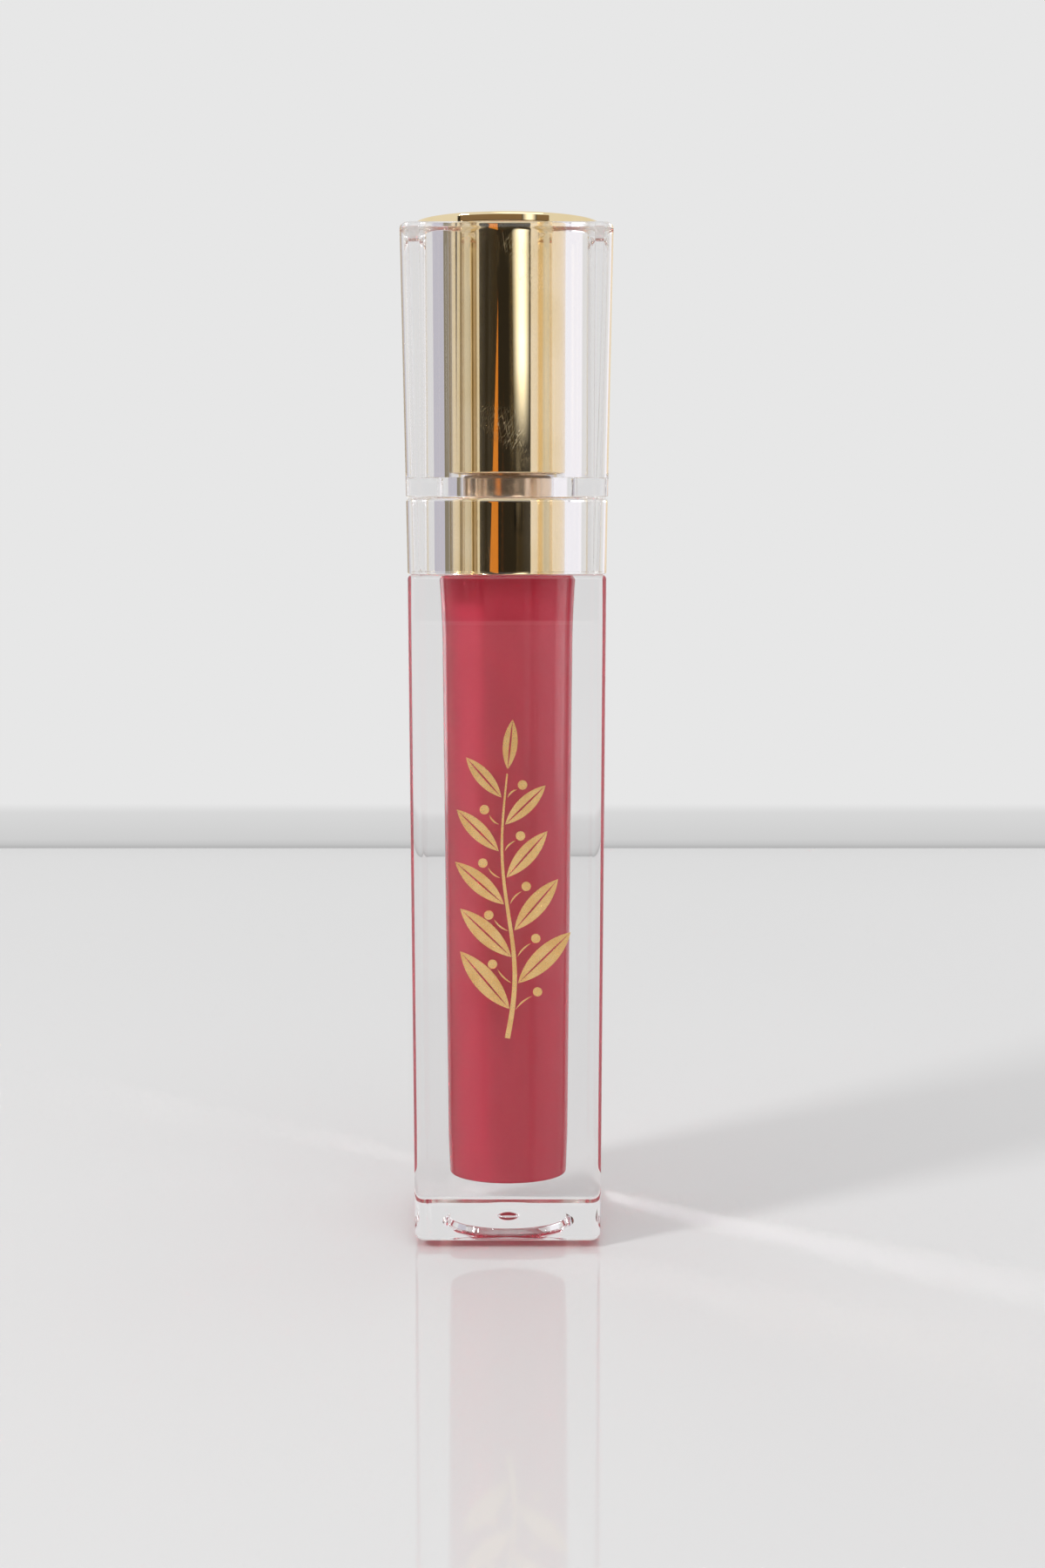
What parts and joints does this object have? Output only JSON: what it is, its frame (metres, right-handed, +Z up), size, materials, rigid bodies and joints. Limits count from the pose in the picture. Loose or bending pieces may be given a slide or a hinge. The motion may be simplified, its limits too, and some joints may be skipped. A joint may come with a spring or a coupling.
{
  "type": "lip gloss tube",
  "caption": "Square thick-walled clear cosmetic tube of coloured gloss, with a gold-lined clear screw cap that carries a flocked applicator wand.",
  "frame": {"origin": "centre of the foot, on the surface that the tube stands on", "axes": "+Z up along the tube towards the cap, -Y out of the decorated front face, +X to the viewer's right"},
  "size_m": [0.0208, 0.0208, 0.1054],
  "materials": {
    "clear_plastic": "polished clear, colourless",
    "neck_plastic": "polished clear, tinted by the gloss",
    "gold": "vacuum-metallised mirror gold",
    "gold_foil": "hot-stamped satin gold foil",
    "gloss": "opaque dusty-rose cream",
    "white_plastic": "moulded, fine satin",
    "wiper_plastic": "soft translucent",
    "seal_foam": "soft foam",
    "flock": "short flock soaked with gloss"
  },
  "bodies": {
    "bottle": {"bottle_body": "clear_plastic", "gloss_fill": "gloss", "front_ornament": "gold_foil", "threaded_neck": "neck_plastic", "wiper": "wiper_plastic", "collar_shell": "clear_plastic", "collar_ring": "gold"},
    "seal": {"seal_washer": "seal_foam"},
    "stem": {"wand_stem": "white_plastic"},
    "cap": {"overcap": "clear_plastic", "cap_liner": "gold", "inner_cap": "white_plastic", "applicator_core": "white_plastic", "applicator_flock": "flock"}
  },
  "joints": [
    {"name": "cap_pull", "type": "slide", "parent": "bottle", "child": "seal", "axis": [0, 0, 1], "range_m": [0, 0.086]},
    {"name": "cap_rise", "type": "slide", "parent": "seal", "child": "stem", "axis": [0, 0, 1], "range_m": [0, 0.0045]},
    {"name": "cap_turn", "type": "hinge", "parent": "stem", "child": "cap", "pos_m": [0, 0, 0.0907], "axis": [0, 0, 1], "range_deg": [0, 450]}
  ],
  "couplings": [
    {"joint": "cap_rise", "follows": "cap_turn", "m_per_rad": 0.00057296}
  ]
}
